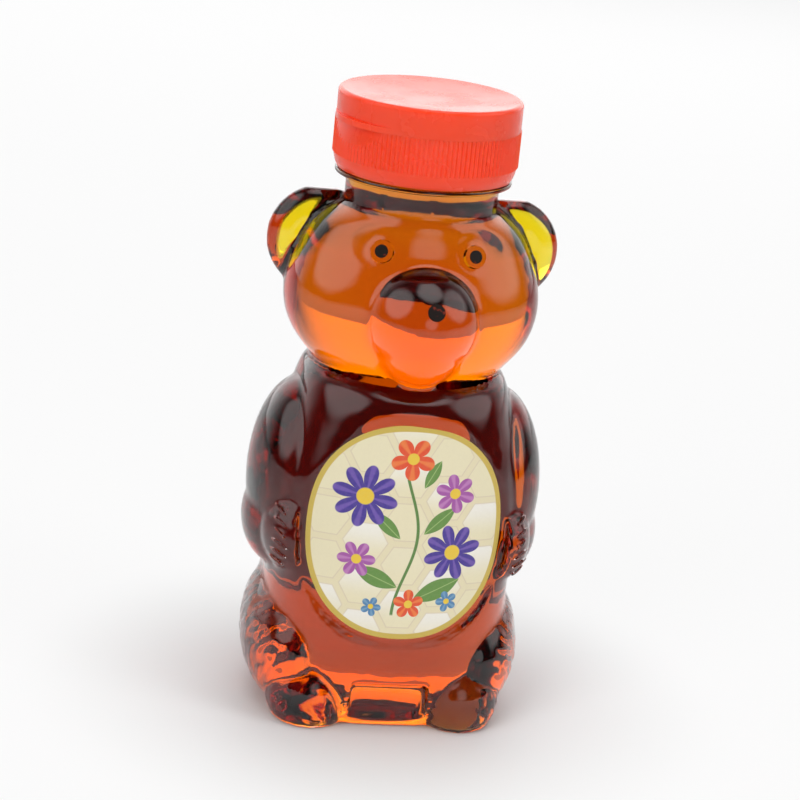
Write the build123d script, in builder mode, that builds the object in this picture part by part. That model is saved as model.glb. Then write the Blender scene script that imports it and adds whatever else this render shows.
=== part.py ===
"""A squeeze bottle shaped as a sitting bear, full of amber syrup, under a screwed flip-top cap.

Millimetres. +Z is up, the bottle stands on Z = 0 with its neck on the Z axis, and the bear
faces -Y. Each piece is written to parts/ as one STEP file.
"""

import os
from math import cos, degrees, pi, radians, sin

from build123d import *

# The bear's trunk
BODY_HEIGHT = 82.3  # from the table to the groove under the head
BODY_WIDTH = 59.0  # the belly alone, without the arms
BODY_FRONT = 28.5  # from the neck's axis to the belly
BODY_BACK = 33.0
HEAD_HEIGHT = 37.3  # from the groove to the foot of the neck
HEAD_WIDTH = 59.0
HEAD_FRONT = 23.4
HEAD_BACK = 26.0
WALL = 0.7
FLOOR = 1.2
FILL_DROP = 4.5  # from the lip down to the syrup

# Face
EYE_SPREAD = 10.5  # from the middle to each eye
EYE_DROP = 7.4  # from the foot of the neck down to the eyes
EYE_RING_RADIUS = 2.6
EYE_RING_HEIGHT = 0.5
PUPIL_RADIUS = 1.5
PUPIL_THICKNESS = 0.25
NOSE_DROP = 17.3  # from the foot of the neck down to the nose
NOSE_SHIFT = 1.0  # the nose is painted on a little to one side
NOSE_RADIUS = 1.95
NOSE_THICKNESS = 0.25

# Paws
TOE_SPREAD = 28.0  # from the middle to each paw's ridges
TOE_Z = 45.0
TOE_COUNT = 6
TOE_PITCH = 2.4
TOE_LENGTH = 4.8
TOE_WIDTH = 1.1
TOE_HEIGHT = 0.45
TOE_TILT = 20.0  # the ridges slope down towards the belly

# Step between the feet, where the belly stands over a lower flat
STEP_WIDTH = 18.0
STEP_HEIGHT = 12.0
STEP_REACH = 24.6  # from the neck's axis to the flat

# Label panels, cut as parts of upright cylinders, and the labels on them
PANEL_RADIUS = 52.0
FRONT_PANEL_WIDTH = 49.0
FRONT_PANEL_HEIGHT = 55.0
FRONT_PANEL_Z = 49.3
FRONT_PANEL_SINK = 1.2  # below the belly
FRONT_PANEL_LEAN = 1.8  # its top leans back, in degrees
BACK_PANEL_WIDTH = 46.0
BACK_PANEL_HEIGHT = 42.0
BACK_PANEL_Z = 41.0
BACK_PANEL_SINK = 2.0
PANEL_CLEARING = 7.0  # how far the bear is cut clear above a panel
LABEL_THICKNESS = 0.12
LABEL_MARGIN = 2.2  # from a label's edge to the edge of its panel

# Neck finish, the 38 mm screw finish of a squeeze bottle
NECK_RADIUS = 17.5
NECK_HEIGHT = 16.8
NECK_ROOT = 3.0  # how far the neck's wall runs down into the head
NECK_SINK = 0.5  # how far the head closes in under the neck's wall
BORE_RADIUS = 15.8
LIP_CHAMFER = 0.4
THREAD_PITCH = 4.233  # six turns to the inch
THREAD_HEIGHT = 1.15
THREAD_FOOT = 1.7
THREAD_CREST = 0.9
THREAD_SINK = 0.3  # how far a thread's foot reaches into its wall
THREAD_DROP = 7.0  # from the lip to the start of the thread's middle line
THREAD_TURNS = 1.25
BEAD_RADIUS = 20.2
BEAD_THICKNESS = 0.9
BEAD_CONE = 0.7
BEAD_DROP = 9.5  # from the lip to the top of the bead

# Cap and liner
CAP_RADIUS = 21.2
CAP_HEIGHT = 11.4
CAP_WALL = 1.9
DECK = 1.3
LINER_THICKNESS = 0.9
LINER_WIDTH = 3.0
RIB_COUNT = 120
RIB_HEIGHT = 0.35
PLAIN_BAND = 3.2  # the smooth band under the ribs
PLAIN_TAPER = 0.9  # how far it draws in at its lower edge
CAP_THREAD_START = 0.25  # in turns round from the neck's thread
CAP_THREAD_TURNS = 0.9
SPOUT_RADIUS = 4.5
SPOUT_HEIGHT = 3.2
SPOUT_BORE_RADIUS = 3.0
SPOUT_ROUND = 0.5
SNAP_RING_WIDTH = 0.9
SNAP_RING_HEIGHT = 1.4
SCOOP_HEIGHT = 5.6
SCOOP_DEPTH = 1.3
SCOOP_SHIFT = 18.0  # from the neck's axis back to the middle of the scoop's wide round

# Lid and hinge
LID_RADIUS = 21.0
LID_HEIGHT = 6.5
LID_WALL = 1.1
LID_DISH = 1.1
LID_ROUND = 0.9
LID_LIP_REACH = 1.0
LID_LIP_RADIUS = 17.0
LID_LIP_HEIGHT = 1.3
LID_TURN = -63.0  # the lid's lip, as a turn about the neck from the bear's front
PLUG_DEPTH = 1.5  # how far the plug reaches into the spout
PLUG_CHAMFER = 0.4
HINGE_WIDTH = 9.0
HINGE_REACH = 0.9
HINGE_HEIGHT = 4.0
HINGE_THICKNESS = 0.45

# Clearances, and the reach of cutters past what they cut
RUNNING_GAP = 0.15
OVERRUN = 1.0

# Heights that several pieces share
NECK_FOOT_Z = BODY_HEIGHT + HEAD_HEIGHT
LIP_Z = NECK_FOOT_Z + NECK_HEIGHT
FILL_Z = LIP_Z - FILL_DROP
DECK_FLOOR_Z = LIP_Z + LINER_THICKNESS
PARTING_Z = DECK_FLOOR_Z + DECK
SKIRT_Z = PARTING_Z - CAP_HEIGHT
TOP_Z = PARTING_Z + LID_HEIGHT

# Evenly spaced sections of the trunk, from the table to the groove and from there to the
# neck. A row gives the half width, front and back as shares of the belly's or the head's, and
# how square the section is.
BODY_SHARES = [
    (0.820, 0.800, 0.840, 2.7),
    (0.962, 0.940, 0.945, 2.7),
    (0.982, 0.985, 0.975, 2.7),
    (0.977, 0.995, 0.988, 2.8),
    (0.967, 1.000, 0.996, 2.9),
    (0.967, 1.000, 1.000, 3.0),
    (0.982, 1.000, 1.000, 3.0),
    (0.998, 1.000, 0.998, 2.9),
    (1.000, 0.997, 0.988, 2.8),
    (0.975, 0.990, 0.960, 2.6),
    (0.918, 0.975, 0.905, 2.4),
    (0.852, 0.945, 0.825, 2.3),
    (0.740, 0.700, 0.680, 2.2),
]
HEAD_SHARES = [
    (0.862, 0.927, 0.913, 2.2),
    (0.957, 0.977, 0.973, 2.2),
    (0.995, 0.998, 0.997, 2.2),
    (0.992, 0.983, 0.985, 2.2),
    (0.955, 0.933, 0.941, 2.15),
    (0.893, 0.861, 0.878, 2.1),
    (0.796, 0.809, 0.801, 2.05),
]
OUTLINE_POINTS = 16
PANEL_SQUARENESS = 2.3
BACK_PANEL_SQUARENESS = 5.0

# Lobes of the bear's left side, which faces the viewer's right: centre, then half axes, as
# shares of the half width, front and height of the body or of the head
ARM_SHARES = ((0.766, -0.035, 0.656), (0.403, 0.649, 0.286))
ELBOW_SHARES = ((0.847, -0.035, 0.529), (0.336, 0.561, 0.146))
PAW_SHARES = ((0.695, -0.439, 0.541), (0.373, 0.456, 0.140))
THIGH_SHARES = ((0.698, -0.035, 0.188), (0.414, 0.860, 0.213))
FOOT_SHARES = ((0.585, -0.561, 0.079), (0.349, 0.414, 0.146))
PUSH_UP_SHARES = ((0.000, 0.036, 0.000), (0.610, 0.536, 0.036))
EAR_SHARES = ((0.746, 0.192, 0.718), (0.407, 0.214, 0.329))
EAR_DISH_SHARES = ((0.780, -0.128, 0.732), (0.278, 0.192, 0.230))
SNOUT_SHARES = ((0.000, -0.748, 0.402), (0.448, 0.620, 0.343))
CHIN_SHARES = ((0.000, -0.684, 0.260), (0.366, 0.607, 0.282))

BODY_SIZES = (BODY_WIDTH / 2, BODY_FRONT, BODY_HEIGHT)
HEAD_SIZES = (HEAD_WIDTH / 2, HEAD_FRONT, HEAD_HEIGHT)


def outline(half_width, low, high, squareness):
    """Points round a closed superellipse that reaches low one way and high the other."""
    points = []
    for index in range(OUTLINE_POINTS):
        angle = pi / 2 + 2 * pi * index / OUTLINE_POINTS
        across = cos(angle)
        along = sin(angle)
        reach = high if along > 0 else low
        size = abs(across / half_width) ** squareness + abs(along / reach) ** squareness
        points.append((across * size ** (-1 / squareness), along * size ** (-1 / squareness)))
    return points


def section_sizes(row, width, front, back, inset):
    """Half width, front, back and squareness of a section of the trunk, inside its wall."""
    half_share, front_share, back_share, squareness = row
    return (
        half_share * width / 2 - inset,
        front_share * front - inset,
        back_share * back - inset,
        squareness,
    )


def trunk_loft(base_z, height, sections):
    """A smooth solid through evenly spaced sections."""
    with BuildPart() as trunk:
        for index, section in enumerate(sections):
            level = base_z + height * index / (len(sections) - 1)
            with BuildSketch(Plane.XY.offset(level)):
                with BuildLine():
                    Spline(*outline(*section), periodic=True)
                make_face()
        loft()
    return trunk.part


def lobe(shares, sizes, base_z, side, grow):
    """One ellipsoid of the bear, on the given side, grown on every half axis."""
    centre, half_axes = ([share * size for share, size in zip(row, sizes)] for row in shares)
    ball = scale(Sphere(1), by=tuple(half + grow for half in half_axes))
    return Pos(side * centre[0], centre[1], base_z + centre[2]) * ball


def panel_slab(side, sink, width, height, centre_z, squareness, lean, rise, grow=0):
    """What stands above a label panel inside an oval, up to a rise over the panel."""
    reach = BODY_BACK if side > 0 else BODY_FRONT
    face = reach - sink - grow
    outward = Plane((0, 0, centre_z), x_dir=(-side, 0, 0), z_dir=(0, side, 0))
    axis_y = side * (face - PANEL_RADIUS)
    half_width = width / 2 + grow
    half_height = height / 2 + grow
    with BuildPart() as slab:
        with BuildSketch(outward):
            with BuildLine():
                Spline(*outline(half_width, half_height, half_height, squareness), periodic=True)
            make_face()
        extrude(amount=face + rise + OVERRUN)
        with Locations((0, axis_y, centre_z)):
            Cylinder(PANEL_RADIUS + rise, height + 2 * grow + OVERRUN, mode=Mode.INTERSECT)
            Cylinder(PANEL_RADIUS, height + 2 * grow + 2 * OVERRUN, mode=Mode.SUBTRACT)
    hinge = Axis((0, side * (reach - sink), centre_z), (1, 0, 0))
    return slab.part.rotate(hinge, side * lean)


def bear_form(inset):
    """The bear from the table to the foot of its neck, drawn in by inset on every side."""
    body = [section_sizes(row, BODY_WIDTH, BODY_FRONT, BODY_BACK, inset) for row in BODY_SHARES]
    head = [section_sizes(row, HEAD_WIDTH, HEAD_FRONT, HEAD_BACK, inset) for row in HEAD_SHARES]
    crown = NECK_RADIUS - NECK_SINK - inset
    trunks = [
        trunk_loft(0, BODY_HEIGHT, body),
        trunk_loft(BODY_HEIGHT, HEAD_HEIGHT, [body[-1], *head, (crown, crown, crown, 2)]),
    ]
    ears = [lobe(EAR_SHARES, HEAD_SIZES, BODY_HEIGHT, side, -inset) for side in (1, -1)]
    dishes = [lobe(EAR_DISH_SHARES, HEAD_SIZES, BODY_HEIGHT, side, inset) for side in (1, -1)]
    muzzle = [
        lobe(shares, HEAD_SIZES, BODY_HEIGHT, 1, -inset) for shares in (SNOUT_SHARES, CHIN_SHARES)
    ]
    limbs = [
        lobe(shares, BODY_SIZES, 0, side, -inset)
        for shares in (ARM_SHARES, ELBOW_SHARES, PAW_SHARES, THIGH_SHARES, FOOT_SHARES)
        for side in (1, -1)
    ]
    base = FLOOR if inset else 0
    push_up = lobe(PUSH_UP_SHARES, BODY_SIZES, 0, 1, base)
    with BuildPart() as form:
        add(ears)
        add(dishes, mode=Mode.SUBTRACT)
        for lobe_part in (*trunks, *limbs, *muzzle):
            add(lobe_part)
        split(bisect_by=Plane.XY.offset(base), keep=Keep.TOP)
        add(push_up, mode=Mode.SUBTRACT)
        with Locations((0, inset - STEP_REACH, 0)):
            Box(
                STEP_WIDTH + 2 * inset,
                BODY_FRONT,
                2 * (STEP_HEIGHT + inset),
                align=(Align.CENTER, Align.MAX, Align.CENTER),
                mode=Mode.SUBTRACT,
            )
    return form.part


def thread(radius, height, start_z, turns, turn):
    """A screw ridge on a wall of the given radius; a negative height points inward."""
    side = 1 if height > 0 else -1
    with BuildPart() as ridge:
        with BuildLine() as path:
            Helix(THREAD_PITCH, turns * THREAD_PITCH, radius, center=(0, 0, start_z))
        with BuildSketch(Plane(path.line @ 0, x_dir=(side, 0, 0), z_dir=path.line % 0)):
            with BuildLine():
                Polyline(
                    (-THREAD_SINK, -THREAD_FOOT / 2),
                    (abs(height), -THREAD_CREST / 2),
                    (abs(height), THREAD_CREST / 2),
                    (-THREAD_SINK, THREAD_FOOT / 2),
                    close=True,
                )
            make_face()
        sweep(path=path.line, is_frenet=True)
    return ridge.part.rotate(Axis.Z, 360 * turn)


# The front and back panels: side, sink, width, height, middle, squareness and lean
FRONT_PANEL = (
    -1,
    FRONT_PANEL_SINK,
    FRONT_PANEL_WIDTH,
    FRONT_PANEL_HEIGHT,
    FRONT_PANEL_Z,
    PANEL_SQUARENESS,
    FRONT_PANEL_LEAN,
)
BACK_PANEL = (
    1,
    BACK_PANEL_SINK,
    BACK_PANEL_WIDTH,
    BACK_PANEL_HEIGHT,
    BACK_PANEL_Z,
    BACK_PANEL_SQUARENESS,
    0,
)


def face_plane(skin, across, height):
    """The plane that lies on the bear's skin, straight in front of a point of its middle."""
    line = Axis((across, 0, height), (0, -1, 0))
    hits = [hit for hit in skin.find_intersection_points(line) if hit[0].Y < 0]
    point, normal = min(hits, key=lambda hit: hit[0].Y)
    outward = normal if normal.Y < 0 else -normal
    return Plane(point, x_dir=outward.cross(Vector(0, 0, -1)), z_dir=outward)


# The bear's outer form, and the hollow inside its wall
panels = (FRONT_PANEL, BACK_PANEL)
panel_cuts = [panel_slab(*panel, PANEL_CLEARING) for panel in panels]
panel_walls = [panel_slab(*panel, PANEL_CLEARING, grow=WALL) for panel in panels]
outer_form = bear_form(0)
inner_form = bear_form(WALL)

with BuildPart() as hollow:
    add(inner_form)
    for panel_wall in panel_walls:
        add(panel_wall, mode=Mode.SUBTRACT)

# Eyes, nose and toes find their places on the skin
skin = outer_form.shell()
eye_z = NECK_FOOT_Z - EYE_DROP
eye_planes = [face_plane(skin, side * EYE_SPREAD, eye_z) for side in (-1, 1)]
nose_plane = face_plane(skin, NOSE_SHIFT, NECK_FOOT_Z - NOSE_DROP)
toe_ball = scale(Sphere(1), by=(TOE_LENGTH / 2, TOE_WIDTH / 2, TOE_HEIGHT))
toes = []
for side in (-1, 1):
    for index in range(TOE_COUNT):
        toe_z = TOE_Z + (index - (TOE_COUNT - 1) / 2) * TOE_PITCH
        toe_plane = face_plane(skin, side * TOE_SPREAD, toe_z)
        toes.append(toe_plane * Rot(0, 0, side * TOE_TILT) * toe_ball)

# Bottle: bear, neck finish and screw thread, blown in one
neck_thread = thread(NECK_RADIUS, THREAD_HEIGHT, LIP_Z - THREAD_DROP, THREAD_TURNS, 0)
bead_z = LIP_Z - BEAD_DROP - BEAD_THICKNESS
with BuildPart() as bottle_shell:
    add(outer_form)
    for panel_cut in panel_cuts:
        add(panel_cut, mode=Mode.SUBTRACT)
    add(toes)
    with BuildSketch(*eye_planes):
        Circle(EYE_RING_RADIUS)
    extrude(amount=EYE_RING_HEIGHT)
    with BuildSketch(*eye_planes):
        Circle(EYE_RING_RADIUS)
    extrude(amount=-EYE_RING_HEIGHT)
    with BuildSketch(Plane.XZ):
        with BuildLine():
            Polyline(
                (0, NECK_FOOT_Z - NECK_ROOT),
                (NECK_RADIUS, NECK_FOOT_Z - NECK_ROOT),
                (NECK_RADIUS, bead_z - BEAD_CONE),
                (BEAD_RADIUS, bead_z),
                (BEAD_RADIUS, bead_z + BEAD_THICKNESS),
                (NECK_RADIUS, bead_z + BEAD_THICKNESS),
                (NECK_RADIUS, LIP_Z - LIP_CHAMFER),
                (NECK_RADIUS - LIP_CHAMFER, LIP_Z),
                (0, LIP_Z),
                close=True,
            )
        make_face()
    revolve(axis=Axis.Z)
    add(neck_thread)
    add(hollow.part, mode=Mode.SUBTRACT)
    with BuildSketch(Plane.XY.offset(NECK_FOOT_Z - OVERRUN)):
        Circle(BORE_RADIUS)
    extrude(amount=NECK_HEIGHT + 2 * OVERRUN, mode=Mode.SUBTRACT)
bottle_shell.part.label = "bottle_shell"

with BuildPart() as syrup:
    add(hollow.part)
    with BuildSketch(Plane.XY.offset(NECK_FOOT_Z - OVERRUN)):
        Circle(BORE_RADIUS)
    extrude(amount=FILL_Z - NECK_FOOT_Z + OVERRUN)
syrup.part.label = "syrup"

# Labels, each a thin sheet on its panel
label_sizes = [
    (side, sink, width - 2 * LABEL_MARGIN, height - 2 * LABEL_MARGIN, *rest)
    for side, sink, width, height, *rest in panels
]
with BuildPart() as front_label:
    add(panel_slab(*label_sizes[0], LABEL_THICKNESS))
front_label.part.label = "front_label"

with BuildPart() as back_label:
    add(panel_slab(*label_sizes[1], LABEL_THICKNESS))
back_label.part.label = "back_label"

# Painted eyes and nose
with BuildPart() as left_pupil:
    with BuildSketch(eye_planes[0].offset(EYE_RING_HEIGHT)):
        Circle(PUPIL_RADIUS)
    extrude(amount=PUPIL_THICKNESS)
left_pupil.part.label = "left_pupil"

with BuildPart() as right_pupil:
    with BuildSketch(eye_planes[1].offset(EYE_RING_HEIGHT)):
        Circle(PUPIL_RADIUS)
    extrude(amount=PUPIL_THICKNESS)
right_pupil.part.label = "right_pupil"

with BuildPart() as nose_dot:
    with BuildSketch(nose_plane):
        Circle(NOSE_RADIUS)
    extrude(amount=NOSE_THICKNESS)
    with BuildSketch(nose_plane):
        Circle(NOSE_RADIUS)
    extrude(amount=-NOSE_THICKNESS)
    add(outer_form, mode=Mode.SUBTRACT)
nose_dot.part.label = "nose_dot"

# Sealing liner between the bottle's lip and the cap's deck
with BuildPart() as cap_liner:
    with BuildSketch(Plane.XY.offset(LIP_Z)):
        Circle(NECK_RADIUS + THREAD_HEIGHT)
        Circle(NECK_RADIUS + THREAD_HEIGHT - LINER_WIDTH, mode=Mode.SUBTRACT)
    extrude(amount=LINER_THICKNESS)
cap_liner.part.label = "cap_liner"

# The plane through the neck's axis that faces the lid's lip, and where the hinge's strap starts
lid_turn = radians(LID_TURN)
lip_face = Plane(
    (0, 0, 0), x_dir=(cos(lid_turn), sin(lid_turn), 0), z_dir=(sin(lid_turn), -cos(lid_turn), 0)
)
hinge_arc = HINGE_WIDTH / CAP_RADIUS
hinge_start = lid_turn + pi / 2 - hinge_arc / 2
hinge_section = Plane(
    (0, 0, 0),
    x_dir=(cos(hinge_start), sin(hinge_start), 0),
    z_dir=(sin(hinge_start), -cos(hinge_start), 0),
)

# Screw cap: ribbed skirt, deck, spout, snap ring for the lid and a thumb scoop
cap_inner_radius = CAP_RADIUS - RIB_HEIGHT - CAP_WALL
lid_inner_radius = LID_RADIUS - LID_WALL
thread_spacing = (THREAD_FOOT + THREAD_CREST) / 2 + RUNNING_GAP
cap_thread_z = LIP_Z - THREAD_DROP - thread_spacing + CAP_THREAD_START * THREAD_PITCH
cap_thread = thread(
    cap_inner_radius,
    -(cap_inner_radius - NECK_RADIUS - RUNNING_GAP),
    cap_thread_z,
    CAP_THREAD_TURNS,
    CAP_THREAD_START,
)
rib_points = [
    (radius * cos(pi * index / RIB_COUNT), radius * sin(pi * index / RIB_COUNT))
    for index, radius in enumerate([CAP_RADIUS, CAP_RADIUS - RIB_HEIGHT] * RIB_COUNT)
]
with BuildPart() as scoop:
    with Locations((0, 0, PARTING_Z - SCOOP_HEIGHT)):
        Cylinder(
            CAP_RADIUS + OVERRUN,
            SCOOP_HEIGHT + OVERRUN,
            align=(Align.CENTER, Align.CENTER, Align.MIN),
        )
    with Locations(lip_face.origin - SCOOP_SHIFT * lip_face.z_dir + (0, 0, PARTING_Z - SCOOP_HEIGHT)):
        Cone(
            SCOOP_SHIFT + CAP_RADIUS,
            SCOOP_SHIFT + CAP_RADIUS - SCOOP_DEPTH * (1 + OVERRUN / SCOOP_HEIGHT),
            SCOOP_HEIGHT + OVERRUN,
            align=(Align.CENTER, Align.CENTER, Align.MIN),
            mode=Mode.SUBTRACT,
        )

with BuildPart() as cap_base:
    with BuildSketch(Plane.XY.offset(SKIRT_Z + PLAIN_BAND)):
        with BuildLine():
            Polyline(*rib_points, close=True)
        make_face()
    extrude(amount=CAP_HEIGHT - PLAIN_BAND)
    with BuildSketch(Plane.XZ):
        with BuildLine():
            band_top = Line(
                (0, SKIRT_Z + PLAIN_BAND),
                (CAP_RADIUS - RIB_HEIGHT, SKIRT_Z + PLAIN_BAND),
            )
            band_side = RadiusArc(
                band_top @ 1, (CAP_RADIUS - RIB_HEIGHT - PLAIN_TAPER, SKIRT_Z), 2 * PLAIN_BAND
            )
            Polyline(band_side @ 1, (0, SKIRT_Z), (0, SKIRT_Z + PLAIN_BAND))
        make_face()
    revolve(axis=Axis.Z)
    with Locations((0, 0, SKIRT_Z - OVERRUN)):
        Cylinder(
            cap_inner_radius,
            CAP_HEIGHT - DECK + OVERRUN,
            align=(Align.CENTER, Align.CENTER, Align.MIN),
            mode=Mode.SUBTRACT,
        )
    add(scoop.part, mode=Mode.SUBTRACT)
    with BuildSketch(hinge_section):
        with Locations((CAP_RADIUS, PARTING_Z)):
            Rectangle(HINGE_REACH, HINGE_HEIGHT / 2, align=(Align.MAX, Align.MAX))
    revolve(axis=Axis.Z, revolution_arc=degrees(hinge_arc))
    with BuildSketch(Plane.XY.offset(PARTING_Z)):
        Circle(lid_inner_radius - RUNNING_GAP)
        Circle(lid_inner_radius - RUNNING_GAP - SNAP_RING_WIDTH, mode=Mode.SUBTRACT)
    extrude(amount=SNAP_RING_HEIGHT)
    with BuildSketch(Plane.XY.offset(PARTING_Z)):
        Circle(SPOUT_RADIUS)
    extrude(amount=SPOUT_HEIGHT)
    spout_rim = faces().sort_by(Axis.Z)[-1].edges()
    fillet(spout_rim, SPOUT_ROUND)
    with BuildSketch(Plane.XY.offset(DECK_FLOOR_Z)):
        Circle(SPOUT_BORE_RADIUS)
    extrude(amount=DECK + SPOUT_HEIGHT, mode=Mode.SUBTRACT)
    add(cap_thread)
cap_base.part.label = "cap_base"

# Lid with its dished top, its lip for the thumb and the plug that closes the spout
lip_shift = LID_RADIUS + LID_LIP_REACH - LID_LIP_RADIUS
ceiling_z = TOP_Z - LID_DISH - LID_WALL
plug_z = PARTING_Z + SPOUT_HEIGHT - PLUG_DEPTH
with BuildPart() as flip_lid:
    with BuildSketch(Plane.XZ):
        with BuildLine():
            wall = Line((LID_RADIUS, PARTING_Z), (LID_RADIUS, TOP_Z - LID_ROUND))
            edge = RadiusArc(wall @ 1, (LID_RADIUS - LID_ROUND, TOP_Z), -LID_ROUND)
            dish = Spline(
                edge @ 1,
                ((LID_RADIUS - LID_ROUND) / 2, TOP_Z - LID_DISH * 3 / 4),
                (0, TOP_Z - LID_DISH),
            )
            Polyline(dish @ 1, (0, PARTING_Z), wall @ 0)
        make_face()
    revolve(axis=Axis.Z)
    with BuildSketch(Plane.XY.offset(PARTING_Z)):
        with Locations((lip_shift * sin(lid_turn), -lip_shift * cos(lid_turn))):
            Circle(LID_LIP_RADIUS)
    extrude(amount=LID_LIP_HEIGHT)
    with BuildSketch(Plane.XZ):
        with BuildLine():
            bore = Line((lid_inner_radius, PARTING_Z), (lid_inner_radius, TOP_Z - 2 * LID_WALL))
            ceiling = Spline(
                bore @ 1,
                (lid_inner_radius / 2, ceiling_z + (TOP_Z - 2 * LID_WALL - ceiling_z) / 4),
                (0, ceiling_z),
            )
            Polyline(ceiling @ 1, (0, PARTING_Z), bore @ 0)
        make_face()
    revolve(axis=Axis.Z, mode=Mode.SUBTRACT)
    with BuildSketch(Plane.XY.offset(plug_z)):
        Circle(SPOUT_BORE_RADIUS - RUNNING_GAP)
    extrude(amount=ceiling_z + LID_WALL / 2 - plug_z)
    plug_tip = faces().filter_by(Axis.Z).filter_by_position(Axis.Z, plug_z, plug_z)
    chamfer(plug_tip.edges(), PLUG_CHAMFER)
flip_lid.part.label = "flip_lid"

# Thin strap on which the lid swings, moulded with the cap and the lid
with BuildPart() as hinge_strap:
    with BuildSketch(hinge_section):
        with BuildLine():
            Polyline(
                (CAP_RADIUS, PARTING_Z - HINGE_HEIGHT / 2),
                (CAP_RADIUS + HINGE_THICKNESS, PARTING_Z - HINGE_HEIGHT / 2),
                (CAP_RADIUS + HINGE_REACH, PARTING_Z - HINGE_THICKNESS),
                (CAP_RADIUS + HINGE_REACH, PARTING_Z + HINGE_THICKNESS),
                (LID_RADIUS + HINGE_THICKNESS, PARTING_Z + HINGE_HEIGHT / 2),
                (LID_RADIUS, PARTING_Z + HINGE_HEIGHT / 2),
                (LID_RADIUS, PARTING_Z + HINGE_HEIGHT / 2 - HINGE_THICKNESS),
                (CAP_RADIUS + HINGE_REACH - HINGE_THICKNESS, PARTING_Z + HINGE_THICKNESS / 2),
                (CAP_RADIUS + HINGE_REACH - HINGE_THICKNESS, PARTING_Z - HINGE_THICKNESS / 2),
                (CAP_RADIUS, PARTING_Z - HINGE_HEIGHT / 2 + HINGE_THICKNESS),
                close=True,
            )
        make_face()
    revolve(axis=Axis.Z, revolution_arc=degrees(hinge_arc))
hinge_strap.part.label = "hinge_strap"

os.makedirs("parts", exist_ok=True)
pieces = [
    bottle_shell,
    syrup,
    front_label,
    back_label,
    left_pupil,
    right_pupil,
    nose_dot,
    cap_liner,
    cap_base,
    hinge_strap,
    flip_lid,
]
for piece in pieces:
    export_step(piece.part, f"parts/{piece.part.label}.step")
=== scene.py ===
"""A bear-shaped squeeze bottle of amber syrup under an orange-red flip-top cap, dressed over its
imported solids. Metres, +Z up, and the bear faces -Y.
"""

from math import cos, pi, radians, sin

import bmesh
import bpy
from mathutils import Matrix, Vector, noise
from mathutils.bvhtree import BVHTree


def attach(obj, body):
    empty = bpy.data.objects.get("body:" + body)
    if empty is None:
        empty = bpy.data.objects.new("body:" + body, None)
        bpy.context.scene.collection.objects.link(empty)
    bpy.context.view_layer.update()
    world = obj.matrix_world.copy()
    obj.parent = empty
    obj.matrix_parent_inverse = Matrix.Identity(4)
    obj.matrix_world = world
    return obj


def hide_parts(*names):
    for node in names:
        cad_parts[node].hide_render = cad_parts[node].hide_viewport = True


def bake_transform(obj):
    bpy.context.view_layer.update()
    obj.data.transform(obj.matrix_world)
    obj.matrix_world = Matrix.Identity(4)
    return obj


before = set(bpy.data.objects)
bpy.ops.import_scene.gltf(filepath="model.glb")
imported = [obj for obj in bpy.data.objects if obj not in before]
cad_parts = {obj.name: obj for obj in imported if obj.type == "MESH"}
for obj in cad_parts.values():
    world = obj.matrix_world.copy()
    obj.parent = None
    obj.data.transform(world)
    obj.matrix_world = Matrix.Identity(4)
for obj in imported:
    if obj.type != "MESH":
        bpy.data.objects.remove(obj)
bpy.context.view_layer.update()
scene = bpy.context.scene
MM = 0.001

# The table and the view. The bottle stands on a wide white table, and the camera looks down on
# it from the front and a little to the bear's right, held slightly askew.
camera_data = bpy.data.cameras.new("camera")
camera_data.lens = 122.4
camera_data.sensor_width = 36.0
camera = bpy.data.objects.new("camera", camera_data)
scene.collection.objects.link(camera)
camera_place = Vector((-0.1000, -0.5977, 0.2577))
camera_ahead = (Vector((0, 0, 0.0724)) - camera_place).normalized()
camera_right = camera_ahead.cross(Vector((0, 0, 1))).normalized()
level_turn = Matrix((camera_right, camera_right.cross(camera_ahead), -camera_ahead)).transposed()
camera_roll = Matrix.Rotation(radians(5.9), 3, "Z")
camera.matrix_world = Matrix.Translation(camera_place) @ (level_turn @ camera_roll).to_4x4()
scene.camera = camera


def plain_material(name):
    """A new node material: itself, its node tree, its Principled shader and its output."""
    material = bpy.data.materials.new(name)
    material.use_nodes = True
    tree = material.node_tree
    return material, tree, tree.nodes["Principled BSDF"], tree.nodes["Material Output"]


def wire(tree, value, socket):
    """Links a socket's value to an input, or writes a plain value on it."""
    if isinstance(value, bpy.types.NodeSocket):
        tree.links.new(value, socket)
    else:
        socket.default_value = value


def calc(tree, operation, *values):
    """The output of a Math node on these values."""
    node = tree.nodes.new("ShaderNodeMath")
    node.operation = operation
    for value, socket in zip(values, node.inputs):
        wire(tree, value, socket)
    return node.outputs[0]


def fade(tree, value, low, high, at_low=0.0, at_high=1.0):
    """A value that runs smoothly from one level to another between two limits, and stays there."""
    node = tree.nodes.new("ShaderNodeMapRange")
    node.interpolation_type = "SMOOTHSTEP"
    for given, name in zip((value, low, high, at_low, at_high),
                           ("Value", "From Min", "From Max", "To Min", "To Max")):
        wire(tree, given, node.inputs[name])
    return node.outputs["Result"]


def new_piece(name, bm, *materials):
    """A smooth-shaded object from a finished bmesh, with its materials in their slots."""
    mesh = bpy.data.meshes.new(name)
    bm.to_mesh(mesh)
    bm.free()
    mesh.shade_smooth()
    piece = bpy.data.objects.new(name, mesh)
    scene.collection.objects.link(piece)
    for material in materials:
        mesh.materials.append(material)
    return piece


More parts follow.
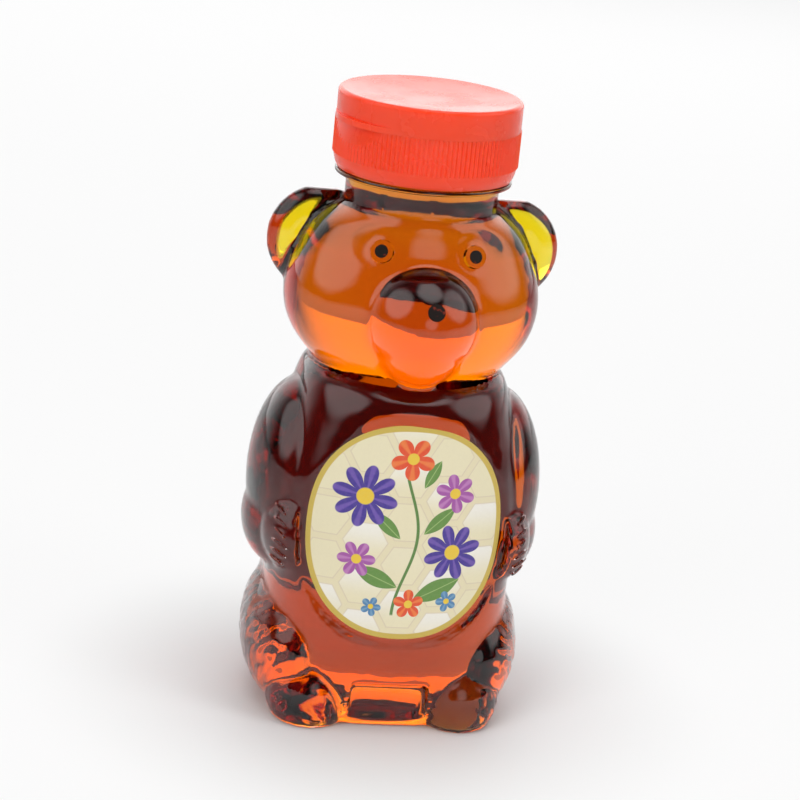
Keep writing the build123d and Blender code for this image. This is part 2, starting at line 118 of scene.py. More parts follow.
table_paint, tree, shader, output = plain_material("white_table")
shader.inputs["Base Color"].default_value = (0.80, 0.80, 0.80, 1)
shader.inputs["Roughness"].default_value = 0.6
ray = tree.nodes.new("ShaderNodeLightPath")
seen = calc(tree, "MAXIMUM", ray.outputs["Is Camera Ray"], ray.outputs["Is Transmission Ray"])
place = tree.nodes.new("ShaderNodeTexCoord")
spread = tree.nodes.new("ShaderNodeVectorMath")
spread.operation = "LENGTH"
tree.links.new(place.outputs["Object"], spread.inputs[0])
# Round the bottle's foot the table's glow fades out, so only its lit shading shows there: a disc of painted
# shade, with the real shadow inside it.
glow_past_shade_disc = fade(tree, spread.outputs["Value"], 0.03, 0.09)
# Close to the bottle the table glows for reflected rays only. This glow paints a pale sheen on the bottle's
# lower body.
sheen_glow_near_bottle = calc(tree, "MULTIPLY", ray.outputs["Is Glossy Ray"],
                fade(tree, spread.outputs["Value"], 0.12, 0.30, 1.0, 0.0))
seen = calc(tree, "MAXIMUM", seen, sheen_glow_near_bottle)
glow = tree.nodes.new("ShaderNodeEmission")
glow.inputs["Strength"].default_value = 1.0
mix = tree.nodes.new("ShaderNodeMixShader")
tree.links.new(calc(tree, "MULTIPLY", calc(tree, "MULTIPLY", seen, glow_past_shade_disc), 0.8), mix.inputs[0])
tree.links.new(shader.outputs[0], mix.inputs[1])
tree.links.new(glow.outputs[0], mix.inputs[2])
tree.links.new(mix.outputs[0], output.inputs["Surface"])
bm = bmesh.new()
bmesh.ops.create_grid(bm, x_segments=1, y_segments=1, size=3.0)
table = new_piece("table", bm, table_paint)

# The light. A pale room, brighter behind the bottle than behind the camera, with a soft box on
# each side in front, one overhead and one behind. The bottle mirrors four round windows instead.
world = bpy.data.worlds.new("pale_room")
scene.world = world
world.use_nodes = True
tree = world.node_tree
tree.nodes.clear()
ray = tree.nodes.new("ShaderNodeLightPath")
aim = tree.nodes.new("ShaderNodeTexCoord")
parts = tree.nodes.new("ShaderNodeSeparateXYZ")
tree.links.new(aim.outputs["Generated"], parts.inputs[0])
mirrored = fade(tree, parts.outputs["Y"], 0.20, 0.95, 0.06, 2.4)
for turn, lift, core, edge, brightness in (  # degrees from the front and up, and the window's radii
    (-76, 35, 22, 33, 1.9),
    (80, 33, 20, 32, 1.8),
    (9, 10, 8, 17, 1.4),
    (28, 78, 14, 26, 2.4),
):
    window = tree.nodes.new("ShaderNodeVectorMath")
    window.operation = "DOT_PRODUCT"
    tree.links.new(aim.outputs["Generated"], window.inputs[0])
    window.inputs[1].default_value = (sin(radians(turn)) * cos(radians(lift)),
                                      -cos(radians(turn)) * cos(radians(lift)), sin(radians(lift)))
    mirrored = calc(tree, "ADD", mirrored, fade(tree, window.outputs["Value"], cos(radians(edge)),
                                                cos(radians(core)), 0.0, brightness))
seen = calc(tree, "MAXIMUM", ray.outputs["Is Camera Ray"],
            calc(tree, "MULTIPLY", ray.outputs["Is Transmission Ray"],
                 fade(tree, parts.outputs["Z"], -0.05, 0.12, 0.80, 0.55)))
unseen = calc(tree, "MULTIPLY", calc(tree, "SUBTRACT", 1.0, calc(tree, "CEIL", seen)),
              calc(tree, "SUBTRACT", 1.0, ray.outputs["Is Glossy Ray"]))
level = calc(tree, "ADD", calc(tree, "MULTIPLY", unseen, 0.45),
             calc(tree, "MULTIPLY", ray.outputs["Is Glossy Ray"], mirrored))
room = tree.nodes.new("ShaderNodeBackground")
tree.links.new(calc(tree, "ADD", level, seen), room.inputs["Strength"])
output = tree.nodes.new("ShaderNodeOutputWorld")
tree.links.new(room.outputs[0], output.inputs["Surface"])


def soft_box(name, place, width, height, power):
    """A rectangular lamp that faces the middle of the bottle."""
    lamp = bpy.data.lights.new(name, "AREA")
    lamp.shape = "RECTANGLE"
    lamp.size = width
    lamp.size_y = height
    lamp.energy = power
    box = bpy.data.objects.new(name, lamp)
    scene.collection.objects.link(box)
    aim = Vector((0, 0, 0.07)) - Vector(place)
    box.matrix_world = Matrix.Translation(place) @ aim.to_track_quat("-Z", "Y").to_matrix().to_4x4()
    box.visible_camera = False
    box.visible_transmission = False
    box.visible_glossy = False


soft_box("window_left", (-0.70, -0.80, 0.70), 0.60, 0.75, 6.0)
soft_box("window_right", (0.80, -0.55, 0.50), 0.40, 0.75, 3.2)
soft_box("overhead", (0.0, -0.15, 1.20), 0.90, 0.70, 4.0)
soft_box("window_behind", (0.20, 1.10, 0.55), 1.20, 0.60, 4.5)

# The bottle. One clear plastic shell, blown into a sitting bear, with soft creases where the
# arms, legs, muzzle and ears meet the trunk, a flat for each label, and a moulded neck.
NECK_FOOT_Z = 119.6 * MM
SYRUP_TOP_Z = 131.9 * MM
BORE_RADIUS = 15.8  # millimetres, as all lathe profiles are
SYRUP_RADIUS = 15.78  # a hair inside the bore, so that the two skins never coincide
THREAD_PITCH = 4.233 * MM
THREAD_TURNS = 1.25
THREAD_STEPS = 120
TOE_SPREAD = 28.0 * MM
TOE_MIDDLE_Z = 45.0
TOE_PITCH = 2.4
SHARP_EDGE = radians(48)
SKIN_VOXEL = 0.7 * MM
EYE_RING_RADIUS = 2.55 * MM
EYE_RING_HEIGHT = 0.52 * MM
SOCKET_SIZE = Vector((6.4, 9.0, 5.1)) * MM
SOCKET_SHIFT = Vector((1.1, 0, 1.0)) * MM
SOCKET_DEPTH = 0.75 * MM
FUR_DEPTH = 0.12 * MM
TOE_HALVES = Vector((2.4, 0.5, 0.45)) * MM


def waves(tree, place, scale, detail):
    """Low swells and dips on an Object coordinate, as a blown or moulded skin has."""
    swell = tree.nodes.new("ShaderNodeTexNoise")
    tree.links.new(place, swell.inputs["Vector"])
    swell.inputs["Scale"].default_value = scale
    swell.inputs["Detail"].default_value = detail
    return swell.outputs["Fac"]


def raised(tree, shader, height, distance):
    """Turns the height of a surface into its shading."""
    bump = tree.nodes.new("ShaderNodeBump")
    bump.inputs["Strength"].default_value = 1.0
    bump.inputs["Distance"].default_value = distance
    tree.links.new(height, bump.inputs["Height"])
    tree.links.new(bump.outputs["Normal"], shader.inputs["Normal"])


clear_plastic, tree, shader, output = plain_material("clear_blown_plastic")
shader.inputs["Base Color"].default_value = (1, 1, 1, 1)
shader.inputs["IOR"].default_value = 1.575
shader.inputs["Transmission Weight"].default_value = 1.0
place = tree.nodes.new("ShaderNodeTexCoord").outputs["Object"]
parts = tree.nodes.new("ShaderNodeSeparateXYZ")
tree.links.new(place, parts.inputs[0])
seam = fade(tree, calc(tree, "ABSOLUTE", parts.outputs["Y"]), 0.0, 0.0004, 0.25, 0.0)
raised(tree, shader, calc(tree, "ADD", waves(tree, place, 70.0, 2.0), seam), 0.00035)
tree.links.new(fade(tree, waves(tree, place, 260.0, 3.0), 0.35, 0.75, 0.015, 0.06),
               shader.inputs["Roughness"])

wetted_wall, tree, shader, output = plain_material("wall_wetted_by_syrup")
shader.inputs["Base Color"].default_value = (1, 1, 1, 1)
shader.inputs["Roughness"].default_value = 0.0
shader.inputs["Transmission Weight"].default_value = 1.0
shader.inputs["Alpha"].default_value = 0.0


def joined_copy(names):
    """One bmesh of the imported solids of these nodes, with their loose triangles merged."""
    bm = bmesh.new()
    for name in names:
        bm.from_mesh(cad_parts[name].data)
    bmesh.ops.remove_doubles(bm, verts=bm.verts, dist=0.002 * MM)
    return bm


def finished(piece):
    """The mesh that a piece's modifiers give, and the piece without them."""
    bpy.context.view_layer.update()
    mesh = bpy.data.meshes.new_from_object(piece.evaluated_get(bpy.context.evaluated_depsgraph_get()))
    piece.modifiers.clear()
    piece.data = mesh
    return piece


def rebuilt(bm, voxel, rounds):
    """The bmesh as one even skin, with its creases eased."""
    piece = new_piece("form", bm)
    remesh = piece.modifiers.new("skin", "REMESH")
    remesh.mode = "VOXEL"
    remesh.voxel_size = voxel
    ease = piece.modifiers.new("ease", "SMOOTH")
    ease.factor = 0.5
    ease.iterations = rounds
    skin = bmesh.new()
    skin.from_mesh(finished(piece).data)
    bpy.data.objects.remove(piece)
    return skin


def lathe(bm, profile, steps=96):
    """A closed solid of revolution about the neck's axis, from (radius, height) in millimetres."""
    verts = [bm.verts.new((radius * MM, 0, height * MM)) for radius, height in profile]
    edges = [bm.edges.new(pair) for pair in zip(verts, verts[1:])]
    bmesh.ops.spin(bm, geom=verts + edges, cent=(0, 0, 0), axis=(0, 0, 1), angle=2 * pi,
                   steps=steps, use_merge=True)
    bmesh.ops.remove_doubles(bm, verts=bm.verts, dist=0.001 * MM)
    bmesh.ops.recalc_face_normals(bm, faces=bm.faces)


def cut_piece(piece, tool, operation):
    """Adds a closed tool to a piece, or takes it away, and removes the tool."""
    change = piece.modifiers.new("change", "BOOLEAN")
    change.operation = operation
    change.solver = "EXACT"
    change.material_mode = "TRANSFER"
    change.object = tool
    finished(piece)
    bpy.data.objects.remove(tool)


def cut_at_neck(skin):
    """Ends a skin flat just above the neck's foot, where a turned neck goes on from it."""
    rim = bmesh.ops.bisect_plane(
        skin, geom=skin.verts[:] + skin.edges[:] + skin.faces[:],
        plane_co=(0, 0, NECK_FOOT_Z + 1.0 * MM), plane_no=(0, 0, 1), clear_outer=True,
    )["geom_cut"]
    bmesh.ops.holes_fill(skin, edges=[e for e in rim if isinstance(e, bmesh.types.BMEdge)])
    return skin


def lies_on(normal):
    """The turn that lays a shape's own Z along a surface's normal, its X as level as it can be."""
    level_x = Vector((0, 0, 1)).cross(normal).normalized()
    return Matrix((level_x, normal.cross(level_x), normal)).transposed().to_4x4()


def painted_place(node):
    """The middle of a painted dot and the way it faces."""
    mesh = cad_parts[node].data
    middle = sum((v.co for v in mesh.vertices), Vector()) / len(mesh.vertices)
    outward = max((p for p in mesh.polygons if p.normal.y < -0.3), key=lambda p: p.area).normal
    return middle, outward.copy()


# The bear up to its neck's foot, with the fur of its legs and the dips round its eyes
bear_skin = rebuilt(joined_copy(["bottle_shell", "syrup"]), SKIN_VOXEL, 4)
eyes = [painted_place(name) for name in ("left_pupil", "right_pupil")]
bear_skin.normal_update()
moves = {}
for vert in bear_skin.verts:
    x, y, z = vert.co / MM
    move = 0
    for middle, outward in eyes:
        side = 1 if middle.x > 0 else -1
        socket = vert.co - middle - Vector((side * SOCKET_SHIFT.x, 0, SOCKET_SHIFT.z))
        reach = sum((offset / size) ** 2 for offset, size in zip(socket, SOCKET_SIZE))
        if reach < 1:
            move -= SOCKET_DEPTH * (1 - reach)
    on_leg = min(1, max(0, (abs(x) - 21) / 5)) * min(1, max(0, (29 - z) / 5)) * min(1, z / 3)
    if on_leg > 0:
        strand = noise.noise(Vector((x * 0.18, (y + z) * 0.55, (z - y) * 0.18)))
        move += on_leg * FUR_DEPTH * strand * 2
    if move:
        moves[vert] = move
for vert, move in moves.items():
    vert.co += vert.normal * move
cut_at_neck(bear_skin)
skin_tree = BVHTree.FromBMesh(bear_skin)
bear = new_piece("bear_bottle", bear_skin, clear_plastic, wetted_wall)

# The neck with its bead and screw thread, turned on top
bm = bmesh.new()
lathe(bm, [(0, 117.0), (17.2, 117.0), (17.5, 118.0), (17.5, 125.3), (19.9, 125.9), (20.2, 126.1),
           (20.2, 126.75), (20.05, 126.9), (17.5, 126.9), (17.5, 136.0), (17.1, 136.4), (0, 136.4)])
cut_piece(bear, new_piece("neck", bm, clear_plastic), "UNION")
bm = bmesh.new()
thread_verts = [bm.verts.new((radius * MM, 0, height * MM))
                for radius, height in ((17.2, 128.55), (18.65, 128.95), (18.65, 129.85), (17.2, 130.25))]
thread_section = bm.faces.new(thread_verts)
bmesh.ops.spin(bm, geom=[thread_section, *thread_verts, *thread_section.edges], cent=(0, 0, 0),
               axis=(0, 0, 1), dvec=(0, 0, THREAD_PITCH * THREAD_TURNS / THREAD_STEPS),
               angle=THREAD_TURNS * 2 * pi, steps=THREAD_STEPS)
bmesh.ops.recalc_face_normals(bm, faces=bm.faces)
cut_piece(bear, new_piece("thread", bm, clear_plastic), "UNION")

# Raised rings round the eyes and the ridges of the paws
bm = bmesh.new()
for middle, outward in eyes:
    base = middle - outward * 0.125 * MM
    seat = Matrix.Translation(base + outward * (EYE_RING_HEIGHT - 1.5 * MM)) @ lies_on(outward)
    bmesh.ops.create_cone(bm, cap_ends=True, segments=64, radius1=EYE_RING_RADIUS + 0.4 * MM,
                          radius2=EYE_RING_RADIUS, depth=2.0 * MM, matrix=seat)
for side in (-1, 1):
    for index in range(6):
        toe_z = (TOE_MIDDLE_Z + (index - 2.5) * TOE_PITCH) * MM
        place, outward, _, _ = skin_tree.ray_cast(Vector((side * TOE_SPREAD, -0.1, toe_z)),
                                                  Vector((0, 1, 0)))
        turn = lies_on(outward) @ Matrix.Rotation(radians(side * 20), 4, "Z")
        bmesh.ops.create_icosphere(bm, subdivisions=3, radius=1, matrix=Matrix.Translation(place) @ turn @
                                   Matrix.Diagonal((*TOE_HALVES, 1)))
cut_piece(bear, new_piece("rings", bm, clear_plastic), "UNION")

# The hollow inside, wet with syrup up to near the lip and dry above it
bm = bmesh.new()
lathe(bm, [(0, 117.0), (BORE_RADIUS, 117.0), (BORE_RADIUS, SYRUP_TOP_Z / MM), (BORE_RADIUS, 138.0),
           (0, 138.0)])
for face in bm.faces:
    face.material_index = int(face.calc_center_median().z > SYRUP_TOP_Z)
hollow = new_piece("hollow", cut_at_neck(rebuilt(joined_copy(["syrup"]), 1.5 * MM, 3)), wetted_wall)
cut_piece(hollow, new_piece("bore", bm, wetted_wall, clear_plastic), "UNION")
cut_piece(bear, hollow, "DIFFERENCE")
bear.data.set_sharp_from_angle(angle=SHARP_EDGE)
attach(bear, "bottle")
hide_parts("bottle_shell")

# The syrup. Thick amber syrup fills the bottle up into its neck.
amber_syrup, tree, shader, output = plain_material("amber_syrup")
shader.inputs["Base Color"].default_value = (1, 1, 1, 1)
shader.inputs["Roughness"].default_value = 0.0
shader.inputs["IOR"].default_value = 1.0
shader.inputs["Transmission Weight"].default_value = 1.0
depth_tint = tree.nodes.new("ShaderNodeVolumeAbsorption")
depth_tint.inputs["Color"].default_value = (0.983, 0.926, 0.0, 1)
depth_tint.inputs["Density"].default_value = 700.0
tree.links.new(depth_tint.outputs[0], output.inputs["Volume"])
syrup_surface = amber_syrup.copy()
syrup_surface.name = "syrup_surface"
syrup_surface.node_tree.nodes["Principled BSDF"].inputs["IOR"].default_value = 1.575
syrup_skin = cut_at_neck(rebuilt(joined_copy(["syrup"]), 1.0 * MM, 3))
filling = new_piece("syrup_fill", syrup_skin, amber_syrup, syrup_surface)
bm = bmesh.new()
lathe(bm, [(0, 118.0), (SYRUP_RADIUS, 118.0), (SYRUP_RADIUS, SYRUP_TOP_Z / MM), (0, SYRUP_TOP_Z / MM)])
for face in bm.faces:
    face.material_index = int(face.normal.z > 0.9)
cut_piece(filling, new_piece("neck_fill", bm, amber_syrup, syrup_surface), "UNION")
filling.data.set_sharp_from_angle(angle=SHARP_EDGE)
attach(filling, "bottle")
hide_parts("syrup")

# The painted face. Two round pupils and a nose are stamped on the plastic in black paint, and
# the nose is worn through in specks.
black_paint, tree, shader, output = plain_material("black_paint")
place = tree.nodes.new("ShaderNodeTexCoord").outputs["Object"]
worn = fade(tree, waves(tree, place, 900.0, 3.0), 0.60, 0.66)
blend = tree.nodes.new("ShaderNodeMix")
blend.data_type = "RGBA"
blend.inputs["A"].default_value = (0.010, 0.006, 0.005, 1)
blend.inputs["B"].default_value = (0.16, 0.02, 0.01, 1)
tree.links.new(worn, blend.inputs["Factor"])
tree.links.new(blend.outputs["Result"], shader.inputs["Base Color"])
shader.inputs["Roughness"].default_value = 0.5
shader.inputs["Specular IOR Level"].default_value = 0.25
for name in ("left_pupil", "right_pupil", "nose_dot"):
    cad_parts[name].data.materials.clear()
    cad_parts[name].data.materials.append(black_paint)

# The front label. A sheet of coated cream paper stuck on the belly, printed with a pale
# honeycomb, a gold edge and a few garden flowers.
LABEL_MIDDLE = (0.0, 49.3)
LABEL_HALVES = (22.3, 25.3)
LABEL_SQUARENESS = 2.3


def new_group(name, inputs, outputs):
    """An empty shader node group with float inputs and outputs: the group, its start and its end."""
    group = bpy.data.node_groups.new(name, "ShaderNodeTree")
    for label, socket_type in inputs:
        group.interface.new_socket(label, in_out="INPUT", socket_type=socket_type)
    for label in outputs:
        group.interface.new_socket(label, in_out="OUTPUT", socket_type="NodeSocketFloat")
    return group, group.nodes.new("NodeGroupInput").outputs, group.nodes.new("NodeGroupOutput").inputs


def placed(tree, group, *values):
    """A group set in a tree with these inputs: its outputs."""
    node = tree.nodes.new("ShaderNodeGroup")
    node.node_tree = group
    for value, socket in zip(values, node.inputs):
        wire(tree, value, socket)
    return node.outputs


paper_fibre, given, result = new_group("paper_fibre", [("Place", "NodeSocketVector")], ["Height"])
paper_fibre.links.new(waves(paper_fibre, given["Place"], 1400.0, 4.0), result["Height"])

honeycomb, given, result = new_group(
    "honeycomb", [(label, "NodeSocketFloat") for label in ("Across", "Up", "Pitch")],
    ["Edge", "Rise", "Cell"])


def cell_offset(shift):
    """How far a point lies from the nearest cell middle of one of the two interleaved rows."""
    offsets = []
    for value, step in ((given["Across"], 3 ** 0.5), (given["Up"], 1.0)):
        scaled = calc(honeycomb, "DIVIDE", value, given["Pitch"])
        moved = calc(honeycomb, "ADD", scaled, shift * step / 2)
        offsets.append(calc(honeycomb, "SUBTRACT", calc(honeycomb, "FLOORED_MODULO", moved, step), step / 2))
    return offsets


def measure(offset):
    """The square of an offset's length."""
    return calc(honeycomb, "ADD", calc(honeycomb, "MULTIPLY", offset[0], offset[0]),
                calc(honeycomb, "MULTIPLY", offset[1], offset[1]))


first, second = cell_offset(0), cell_offset(1)
nearer = calc(honeycomb, "LESS_THAN", measure(first), measure(second))
across, up = (
    calc(honeycomb, "ADD", b, calc(honeycomb, "MULTIPLY", nearer, calc(honeycomb, "SUBTRACT", a, b)))
    for a, b in zip(first, second))
slant = calc(honeycomb, "ADD",
             calc(honeycomb, "MULTIPLY", calc(honeycomb, "ABSOLUTE", across), 3 ** 0.5 / 2),
             calc(honeycomb, "MULTIPLY", calc(honeycomb, "ABSOLUTE", up), 0.5))
honeycomb.links.new(calc(honeycomb, "MAXIMUM", calc(honeycomb, "ABSOLUTE", up), slant), result["Edge"])
honeycomb.links.new(up, result["Rise"])
cell_spot = honeycomb.nodes.new("ShaderNodeCombineXYZ")
for value, offset, socket in zip((given["Across"], given["Up"]), (across, up), cell_spot.inputs):
    middle = calc(honeycomb, "SUBTRACT", calc(honeycomb, "DIVIDE", value, given["Pitch"]), offset)
    honeycomb.links.new(calc(honeycomb, "ROUND", calc(honeycomb, "MULTIPLY", middle, 8.0)), socket)
cell_chance = honeycomb.nodes.new("ShaderNodeTexWhiteNoise")
honeycomb.links.new(cell_spot.outputs[0], cell_chance.inputs["Vector"])
honeycomb.links.new(cell_chance.outputs["Value"], result["Cell"])

flower, given, result = new_group(
    "flower", [(label, "NodeSocketFloat") for label in (
        "Across", "Up", "Middle Across", "Middle Up", "Radius", "Petals", "Turn")],
    ["Petal", "Heart", "Vein"])
across = calc(flower, "SUBTRACT", given["Across"], given["Middle Across"])
up = calc(flower, "SUBTRACT", given["Up"], given["Middle Up"])
reach = calc(flower, "SQRT", calc(flower, "ADD", calc(flower, "MULTIPLY", across, across),
                                  calc(flower, "MULTIPLY", up, up)))
share = calc(flower, "DIVIDE", reach, given["Radius"])
turn = calc(flower, "ADD", calc(flower, "ARCTAN2", up, across), given["Turn"])
lobes = calc(flower, "ABSOLUTE", calc(flower, "COSINE", calc(flower, "MULTIPLY", turn,
                                                           calc(flower, "DIVIDE", given["Petals"], 2.0))))
petal_edge = calc(flower, "MULTIPLY_ADD", calc(flower, "POWER", lobes, 0.6), 0.62, 0.38)
flower.links.new(fade(flower, calc(flower, "SUBTRACT", petal_edge, share), 0.0, 0.04), result["Petal"])
flower.links.new(fade(flower, share, 0.24, 0.28, 1.0, 0.0), result["Heart"])
flower.links.new(fade(flower, lobes, 0.86, 1.0), result["Vein"])

leaf, given, result = new_group(
    "leaf", [(label, "NodeSocketFloat") for label in (
        "Across", "Up", "Middle Across", "Middle Up", "Length", "Width", "Turn")],
    ["Blade", "Rib"])
across = calc(leaf, "SUBTRACT", given["Across"], given["Middle Across"])
up = calc(leaf, "SUBTRACT", given["Up"], given["Middle Up"])
along = calc(leaf, "ADD", calc(leaf, "MULTIPLY", across, calc(leaf, "COSINE", given["Turn"])),
             calc(leaf, "MULTIPLY", up, calc(leaf, "SINE", given["Turn"])))
aside = calc(leaf, "SUBTRACT", calc(leaf, "MULTIPLY", up, calc(leaf, "COSINE", given["Turn"])),
             calc(leaf, "MULTIPLY", across, calc(leaf, "SINE", given["Turn"])))
along_share = calc(leaf, "DIVIDE", along, calc(leaf, "MULTIPLY", given["Length"], 0.5))
room_left = calc(leaf, "SUBTRACT", 1.0, calc(leaf, "MULTIPLY", along_share, along_share))
room_left = calc(leaf, "MAXIMUM", room_left, 0.0)
half_width = calc(leaf, "MULTIPLY", calc(leaf, "MULTIPLY", given["Width"], 0.5), room_left)
leaf.links.new(fade(leaf, calc(leaf, "SUBTRACT", half_width, calc(leaf, "ABSOLUTE", aside)), 0.0, 0.08),
               result["Blade"])
leaf.links.new(fade(leaf, calc(leaf, "ABSOLUTE", aside), 0.05, 0.16, 1.0, 0.0), result["Rib"])

printed_label, tree, shader, output = plain_material("printed_label")
parts = tree.nodes.new("ShaderNodeSeparateXYZ")
tree.links.new(tree.nodes.new("ShaderNodeTexCoord").outputs["Object"], parts.inputs[0])
label_across = calc(tree, "MULTIPLY", parts.outputs["X"], 1000.0)
label_up = calc(tree, "MULTIPLY", parts.outputs["Z"], 1000.0)


def over(below, mask, colour):
    """Prints a colour over what is below, where the mask is one."""
    blend = tree.nodes.new("ShaderNodeMix")
    blend.data_type = "RGBA"
    wire(tree, mask, blend.inputs["Factor"])
    wire(tree, below, blend.inputs["A"])
    wire(tree, colour, blend.inputs["B"])
    return blend.outputs["Result"]


edge, rise, cell = placed(tree, honeycomb, label_across, label_up, 10.4)
ground = over((0.78, 0.70, 0.47, 1), fade(tree, edge, 0.40, 0.44, 1.0, 0.0),
              over((0.80, 0.73, 0.50, 1), calc(tree, "MULTIPLY", fade(tree, rise, -0.35, 0.40),
                                               fade(tree, cell, 0.35, 0.45)), (0.87, 0.84, 0.76, 1)))
line = calc(tree, "MULTIPLY", fade(tree, edge, 0.405, 0.42), fade(tree, edge, 0.425, 0.445, 1.0, 0.0))
print_colour = over(ground, calc(tree, "MULTIPLY", line, 0.35), (0.55, 0.42, 0.36, 1))
stem_swing = calc(tree, "MULTIPLY", calc(tree, "SINE", calc(tree, "MULTIPLY", label_up, 0.16)), 2.2)
stem_off = calc(tree, "SUBTRACT", calc(tree, "SUBTRACT", label_across, 0.5), stem_swing)
stem_off = calc(tree, "ABSOLUTE", stem_off)
stem = calc(tree, "MULTIPLY", fade(tree, stem_off, 0.28, 0.42, 1.0, 0.0),
            calc(tree, "MULTIPLY", fade(tree, label_up, 29.5, 30.0),
                 fade(tree, label_up, 62.0, 62.5, 1.0, 0.0)))
print_colour = over(print_colour, stem, (0.10, 0.22, 0.05, 1))
for middle_across, middle_up, length, width, leaf_turn in (
    (-6.0, 38.5, 11.0, 4.2, 2.75),
    (8.1, 36.0, 12.0, 4.6, 0.45),
    (-4.5, 51.0, 9.0, 3.2, 2.4),
    (7.5, 52.5, 9.5, 3.4, 0.75),
    (4.9, 63.5, 7.5, 2.8, 1.1),
):
    blade, rib = placed(tree, leaf, label_across, label_up, middle_across, middle_up, length, width,
                        leaf_turn)
    green = over((0.13, 0.27, 0.06, 1), rib, (0.32, 0.46, 0.16, 1))
    print_colour = over(print_colour, blade, green)
for middle_across, middle_up, radius, petals, flower_turn, petal_colour, vein_colour in (
    (-10.0, 57.5, 7.6, 8.0, 0.2, (0.060, 0.035, 0.280, 1), (0.19, 0.11, 0.45, 1)),
    (11.1, 45.0, 6.8, 8.0, 0.5, (0.060, 0.035, 0.280, 1), (0.19, 0.11, 0.45, 1)),
    (-10.7, 42.5, 4.4, 6.0, 0.0, (0.36, 0.09, 0.36, 1), (0.56, 0.25, 0.52, 1)),
    (10.5, 59.0, 4.8, 6.0, 0.3, (0.36, 0.09, 0.36, 1), (0.56, 0.25, 0.52, 1)),
    (0.0, 67.0, 5.2, 5.0, 0.3, (0.75, 0.08, 0.025, 1), (0.85, 0.25, 0.06, 1)),
    (2.0, 32.5, 3.6, 5.0, 0.9, (0.75, 0.08, 0.025, 1), (0.85, 0.25, 0.06, 1)),
    (-6.5, 31.5, 2.4, 5.0, 0.1, (0.08, 0.22, 0.42, 1), (0.20, 0.38, 0.55, 1)),
    (10.9, 33.2, 2.6, 5.0, 0.6, (0.08, 0.22, 0.42, 1), (0.20, 0.38, 0.55, 1)),
):
    petal, heart, vein = placed(tree, flower, label_across, label_up, middle_across, middle_up, radius,
                                petals, flower_turn)
    veined = over(petal_colour, calc(tree, "MULTIPLY", vein, 0.7), vein_colour)
    print_colour = over(print_colour, petal, veined)
    print_colour = over(print_colour, heart, (0.80, 0.55, 0.05, 1))
oval_shares = [calc(tree, "DIVIDE", calc(tree, "SUBTRACT", value, middle), half)
               for value, middle, half in zip((label_across, label_up), LABEL_MIDDLE, LABEL_HALVES)]
oval = calc(tree, "ADD", *(calc(tree, "POWER", calc(tree, "ABSOLUTE", share), LABEL_SQUARENESS)
                           for share in oval_shares))
oval = calc(tree, "POWER", oval, 1 / LABEL_SQUARENESS)
print_colour = over(print_colour, fade(tree, oval, 0.946, 0.954), (0.58, 0.42, 0.075, 1))
fibre = placed(tree, paper_fibre, tree.nodes["Texture Coordinate"].outputs["Object"])["Height"]
print_colour = over(print_colour, fade(tree, fibre, 0.3, 0.8, 0.0, 0.06), (0.55, 0.48, 0.36, 1))
tree.links.new(print_colour, shader.inputs["Base Color"])
tree.links.new(fade(tree, oval, 0.946, 0.954, 0.42, 0.30), shader.inputs["Roughness"])
raised(tree, shader, fibre, 0.00001)
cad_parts["front_label"].data.materials.clear()
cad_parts["front_label"].data.materials.append(printed_label)

# The back label. Plain cream paper of the same make, blank, stuck on the bear's back.
plain_label, tree, shader, output = plain_material("plain_label")
place = tree.nodes.new("ShaderNodeTexCoord").outputs["Object"]
fibre = placed(tree, paper_fibre, place)["Height"]
tree.links.new(over((0.80, 0.72, 0.50, 1), fade(tree, fibre, 0.3, 0.8, 0.0, 0.10), (0.55, 0.48, 0.36, 1)),
               shader.inputs["Base Color"])
shader.inputs["Roughness"].default_value = 0.42
raised(tree, shader, fibre, 0.00001)
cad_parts["back_label"].data.materials.clear()
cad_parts["back_label"].data.materials.append(plain_label)

# The closure. Cap, lid and strap are moulded in one from slightly translucent orange-red
# plastic, with a faint matt grain from the mould.
moulded, given, result = new_group(
    "moulded_skin", [("Place", "NodeSocketVector"), ("Gloss", "NodeSocketFloat")], ["Roughness", "Height"])
moulded.links.new(fade(moulded, waves(moulded, given["Place"], 120.0, 3.0), 0.3, 0.7,
                       given["Gloss"], calc(moulded, "ADD", given["Gloss"], 0.10)), result["Roughness"])
moulded.links.new(calc(moulded, "ADD", waves(moulded, given["Place"], 160.0, 1.0),
                       calc(moulded, "MULTIPLY", waves(moulded, given["Place"], 2500.0, 2.0), 0.06)),
                  result["Height"])


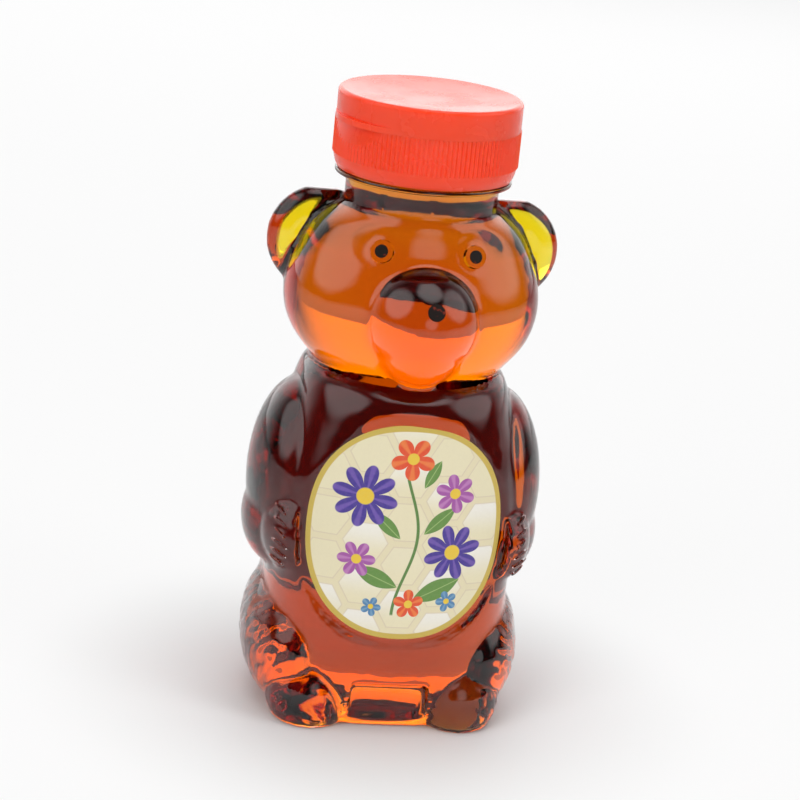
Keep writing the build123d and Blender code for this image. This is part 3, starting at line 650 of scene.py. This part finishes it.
def moulded_plastic(name, colour, gloss, glow_through, glow_reach):
    """A plastic that light sinks into a little, under a moulded skin."""
    material, tree, shader, output = plain_material(name)
    shader.inputs["Base Color"].default_value = colour
    shader.inputs["Subsurface Weight"].default_value = glow_through
    shader.inputs["Subsurface Radius"].default_value = glow_reach
    shader.inputs["Subsurface Scale"].default_value = 0.004
    shader.inputs["Specular IOR Level"].default_value = 0.5
    place = tree.nodes.new("ShaderNodeTexCoord").outputs["Object"]
    roughness, height = placed(tree, moulded, place, gloss)
    tree.links.new(roughness, shader.inputs["Roughness"])
    raised(tree, shader, height, 0.00002)
    return material


red_plastic = moulded_plastic("orange_red_plastic", (0.99, 0.055, 0.010, 1), 0.20, 0.35, (1.0, 0.30, 0.10))
for name in ("cap_base", "flip_lid"):
    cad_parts[name].data.materials.clear()
    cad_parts[name].data.materials.append(red_plastic)

# The strap. A thin web of the same plastic on which the lid swings, bowed out at the parting
# line so that it folds there.
STRAP_POINTS = [(21.2, -2.0), (21.65, -2.0), (21.85, -1.2), (22.1, -0.45), (22.1, 0.45), (21.85, 1.2),
                (21.45, 2.0), (21.0, 2.0), (21.0, 1.55), (21.65, 0.225), (21.65, -0.225), (21.2, -1.55)]
PARTING_Z = 138.6 * MM
STRAP_TURN = radians(27)
STRAP_ARC = radians(24.32)
bm = bmesh.new()
verts = [bm.verts.new((radius * MM * cos(STRAP_TURN - STRAP_ARC / 2),
                       radius * MM * sin(STRAP_TURN - STRAP_ARC / 2), PARTING_Z + height * MM))
         for radius, height in STRAP_POINTS]
edges = [bm.edges.new(pair) for pair in zip(verts, verts[1:] + verts[:1])]
bmesh.ops.spin(bm, geom=verts + edges, cent=(0, 0, 0), axis=(0, 0, 1), angle=STRAP_ARC, steps=12)
bmesh.ops.holes_fill(bm, edges=[e for e in bm.edges if e.is_boundary])
bmesh.ops.recalc_face_normals(bm, faces=bm.faces)
strap = new_piece("lid_strap", bm, red_plastic)
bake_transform(strap)
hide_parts("hinge_strap")

# The liner. A white foamed ring under the cap's deck that seals against the bottle's lip.
white_foam = moulded_plastic("white_foam", (0.80, 0.80, 0.77, 1), 0.55, 0.2, (1.0, 1.0, 1.0))
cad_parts["cap_liner"].data.materials.clear()
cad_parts["cap_liner"].data.materials.append(white_foam)

scene.view_settings.view_transform = "Standard"
